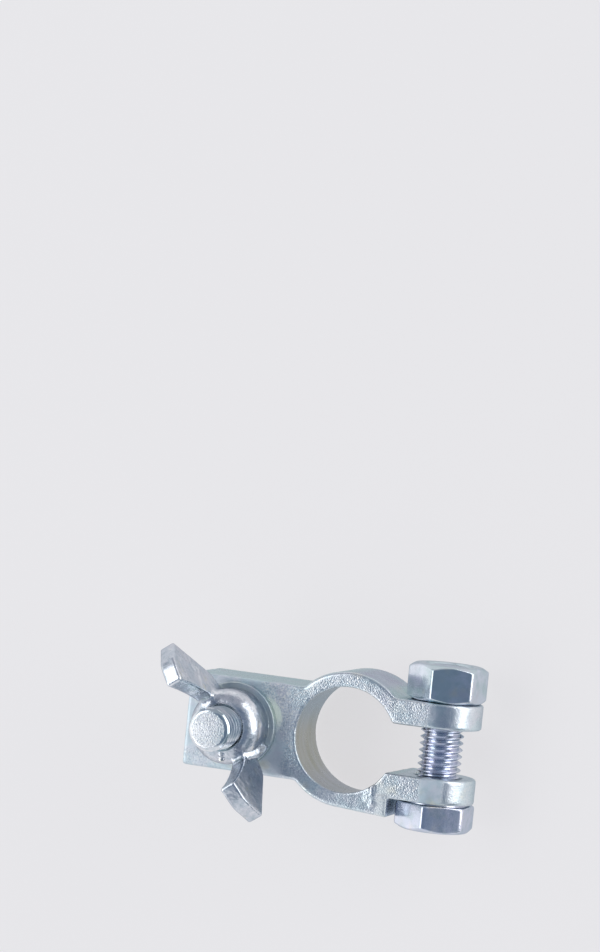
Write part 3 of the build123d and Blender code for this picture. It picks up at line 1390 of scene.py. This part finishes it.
@dataclass(frozen=True)
class Lump:
    """A low swelling that the forging dies left on the hub, its ends measured from the hub's foot."""

    start: Triple
    end: Triple
    facing: Triple
    width: float
    height: float
    sunk: float = 0.0

    def shell(self, form: bmesh.types.BMesh, foot: Matrix) -> None:
        """Adds the lump to a form.

        Args:
            form: The form that the hub is in.
            foot: Where the hub's foot stands.
        """
        start, end = Vector(self.start), Vector(self.end)
        along = (end - start).normalized()
        across = along.cross(Vector(self.facing)).normalized()
        out = across.cross(along)
        turn = Matrix((along, across, out)).transposed().to_4x4()
        spot = Matrix.Translation((start + end) / 2 - out * self.sunk)
        size = Matrix.Diagonal(((end - start).length / 2, self.width / 2, self.height / 2, 1.0))
        matrix = foot @ spot @ turn @ size
        bmesh.ops.create_uvsphere(form, u_segments=32, v_segments=16, radius=1.0, matrix=matrix)


@dataclass
class WingNut:
    """The wing nut: a domed hub with two flared wings, forged in one and tapped."""

    place: Place
    nut: Nut
    stud: StudBolt
    hub_height: float = 6.6 * MM
    voxel: float = 0.125 * MM
    smoothing: int = 3
    columns: int = 96
    skin: Skin = Skin(2.4 * MM, 0.10 * MM, 0.6 * MM, 0.01 * MM, 4.0)
    lumps: tuple[Lump, ...] = (
        Lump(
            (4.5 * MM, -4.7 * MM, 5.6 * MM),
            (7.3 * MM, -2.9 * MM, 0.4 * MM),
            TO_SOFTBOX,
            width=2.6 * MM,
            height=1.5 * MM,
            sunk=0.2 * MM,
        ),
        Lump(
            (-0.1 * MM, -4.95 * MM, 6.3 * MM),
            (1.1 * MM, -4.95 * MM, 6.3 * MM),
            TO_LEFT,
            width=0.9 * MM,
            height=0.6 * MM,
        ),
        Lump(
            (-0.1 * MM, -5.85 * MM, 5.95 * MM),
            (1.2 * MM, -5.85 * MM, 5.95 * MM),
            TO_LEFT,
            width=1.1 * MM,
            height=0.6 * MM,
        ),
    )

    def upright(self, section: list[Point], start: float) -> bpy.types.Mesh:
        """Turns a plain section round the Z axis.

        Args:
            section: Pairs of radius and height, both ends on the axis.
            start: How high its zero stands.

        Returns:
            A closed mesh.
        """
        mesh = lathe(lambda angle: section, self.columns, closed=False)
        mesh.transform(Matrix.Translation((0, 0, start)))
        return mesh

    def build(self, threads: ThreadTree, skins: SkinTree, finish: ZincFinish) -> None:
        """Makes the wing nut and puts it in place.

        Args:
            threads: The tree that forms the tap for its thread.
            skins: The tree that makes its surface uneven.
            finish: Its finish.
        """
        seat = self.stud.seat
        start = self.place.low.z - seat.translation.z
        mouth, bore, top = self.nut.mouth_radius, self.nut.bore_radius, self.hub_height
        # The bore is filled, so that the skin closes over it, and tapped afterwards
        fill = self.upright([(0.0, 0.0), (mouth, 0.0), (mouth, top), (0.0, top)], start)
        fill.transform(seat)
        host = welded_copy(self.place.node)
        with editing(host.data) as form:
            form.from_mesh(fill)
            for lump in self.lumps:
                lump.shell(form, seat @ Matrix.Translation((0, 0, start)))
        mesh = remeshed(host, self.voxel, self.smoothing)
        paint_smooth(mesh)
        material = finish.material()
        mesh = skins.form(mesh, material, self.skin)
        depth, over = mouth - bore, self.nut.thread.pitch
        mouths = [
            (0.0, -over),
            (mouth + over, -over),
            (bore, depth),
            (bore, top - depth),
            (mouth + over, top + over),
            (0.0, top + over),
        ]
        tap = cut(self.nut.tap(threads, start, top, material), self.upright(mouths, start), Cut.JOIN)
        tap.transform(seat)
        mesh = cut(mesh, tap, Cut.TAKE_AWAY)
        shade(mesh)
        paint_smooth(mesh)
        self.place.stand_in("wing_nut_forged", mesh)


# ---------------------------------------------------------------- studio


@dataclass(frozen=True)
class Softbox:
    """A large soft light that looks at the object."""

    name: str
    lean: float  # degrees from straight up towards +X
    turn: float  # degrees from +X towards +Y
    distance: float
    width: float
    length: float
    watts: float

    def build(self, target: Vector) -> None:
        """Hangs the light and turns it towards the object.

        Args:
            target: What it looks at.
        """
        light = bpy.data.lights.new(self.name, "AREA")
        light.shape = "RECTANGLE"
        light.size = self.width
        light.size_y = self.length
        light.energy = self.watts
        lamp = bpy.data.objects.new(self.name, light)
        bpy.context.scene.collection.objects.link(lamp)
        lamp.rotation_euler = (0.0, math.radians(self.lean), math.radians(self.turn))
        lamp.location = target + lamp.rotation_euler.to_matrix() @ Vector((0.0, 0.0, self.distance))


@dataclass(frozen=True)
class Glow:
    """A part of the room round one direction, in a colour of its own."""

    colour: Colour
    towards: Triple
    edge: float  # cosine of the angle from that direction where it starts
    full: float  # and of the angle where it has its full colour


@dataclass(frozen=True)
class Studio:
    """Floor, surroundings, lights and camera."""

    camera_place: Triple = (179.08 * MM, 62.59 * MM, 554.39 * MM)
    camera_turn: Triple = (0.562, 19.700, 6.231)  # degrees about X, Y and Z
    lens: float = 117.72
    near_clip: float = 0.01
    floor_reach: float = 3.0
    floor_grain: float = 40 * MM
    floor_colour: Colour = (0.2, 0.198, 0.2)
    floor_shade: float = 0.985
    floor_rough: float = 0.75
    floor_light: Colour = (1.0, 0.985, 1.0)
    floor_glow: float = 0.65
    horizon: Colour = (0.70, 0.73, 0.78)
    glows: tuple[Glow, ...] = (
        Glow((0.38, 0.40, 0.46), (0.0, 1.0, 0.0), 0.2, 0.8),
        Glow(
            (0.22, 0.27, 0.33), (0.82, -0.55, 0.14), math.cos(math.radians(32)), math.cos(math.radians(20))
        ),
        Glow((1.05, 1.06, 1.08), (-1.0, 0.0, 0.0), 0.8, 0.95),
        Glow(
            (0.165, 0.215, 0.30),
            (math.sin(math.radians(13)), 0.0, math.cos(math.radians(13))),
            math.cos(math.radians(47)),
            math.cos(math.radians(30)),
        ),
    )
    lights: tuple[Softbox, ...] = (
        Softbox("softbox_right", lean=77.0, turn=26.0, distance=0.9, width=0.58, length=1.3, watts=4.1),
        Softbox("softbox_left", lean=-42.0, turn=0.0, distance=0.9, width=0.44, length=1.3, watts=2.3),
    )

    def build(self, target: Vector, floor_height: float) -> None:
        """Sets up everything round the object.

        Args:
            target: The object's middle.
            floor_height: How high the floor lies.
        """
        self.build_floor(floor_height)
        self.build_surroundings()
        for light in self.lights:
            light.build(target)
        self.build_camera()
        bpy.context.scene.view_settings.view_transform = "Standard"

    def build_floor(self, height: float) -> None:
        """Lays the pale floor.

        Args:
            height: How high it lies.
        """
        mesh = bpy.data.meshes.new("floor")
        with editing(mesh) as form:
            bmesh.ops.create_grid(form, x_segments=8, y_segments=8, size=self.floor_reach)
        mesh.transform(Matrix.Translation((0, 0, height)))
        shader = Shader("floor_paper")
        inputs = shader.surface.inputs
        darker = tuple(self.floor_shade * c for c in self.floor_colour)
        paper = shader.mixed(shader.noise(self.floor_grain, 3.0), self.floor_colour, darker)
        plug(shader.tree, inputs["Base Color"], paper)
        inputs["Roughness"].default_value = self.floor_rough
        inputs["Emission Color"].default_value = (*self.floor_light, 1.0)
        inputs["Emission Strength"].default_value = self.floor_glow
        mesh.materials.append(shader.material)
        new_object("floor", mesh)

    def build_surroundings(self) -> None:
        """Makes the room: pale round the horizon, and dim overhead round the camera."""
        world = bpy.data.worlds.new("studio_room")
        bpy.context.scene.world = world
        world.use_nodes = True
        room = NodeTree(world.node_tree)
        look = room.node("ShaderNodeTexCoord").outputs["Generated"]
        parts = room.node("ShaderNodeSeparateXYZ", Vector=look)
        x, y, z = (Value(room.tree, socket) for socket in parts.outputs)
        colour: object = self.horizon
        for glow in self.glows:
            facing = x * glow.towards[0] + y * glow.towards[1] + z * glow.towards[2]
            colour = room.mixed(facing.step(glow.edge, glow.full), colour, glow.colour)
        plug(room.tree, room.tree.nodes["Background"].inputs["Color"], colour)

    def build_camera(self) -> None:
        """Stands the camera."""
        data = bpy.data.cameras.new("camera")
        data.lens = self.lens
        data.clip_start = self.near_clip
        camera = bpy.data.objects.new("camera", data)
        camera.location = self.camera_place
        camera.rotation_euler = [math.radians(a) for a in self.camera_turn]
        bpy.context.scene.collection.objects.link(camera)
        bpy.context.scene.camera = camera


def main() -> None:
    """Builds the pieces in order, then the studio."""
    logging.basicConfig(level=logging.INFO, format="%(name)s %(message)s")
    threads, skins = ThreadTree(), SkinTree()
    bolt, nut = Bolt(), Nut()
    Casting(Place("clamp_body", Body.CLAMP, Slot.CAST)).build(skins, CAST_ZINC)
    cross_bolt = PinchBolt(Place("pinch_bolt", Body.CROSS_BOLT, Slot.BOLT), bolt)
    cross_bolt.build(threads, BOLT_ZINC)
    cross_nut = PinchNut(Place("pinch_nut", Body.CROSS_NUT, Slot.BOLT), nut, cross_bolt)
    cross_nut.build(threads, NUT_ZINC)
    stud = StudBolt(Place("stud_bolt", Body.CLAMP, Slot.BOLT), bolt)
    stud.build(threads, STUD_ZINC)
    StudWasher(Place("stud_washer", Body.WASHER, Slot.WASHER)).build(WASHER_ZINC)
    wing_nut = WingNut(Place("wing_nut", Body.WING, Slot.WING), nut, stud)
    wing_nut.build(threads, skins, WING_ZINC)
    low, high = cad_box
    Studio().build((low + high) / 2, low.z)


if __name__ == "__main__":
    main()
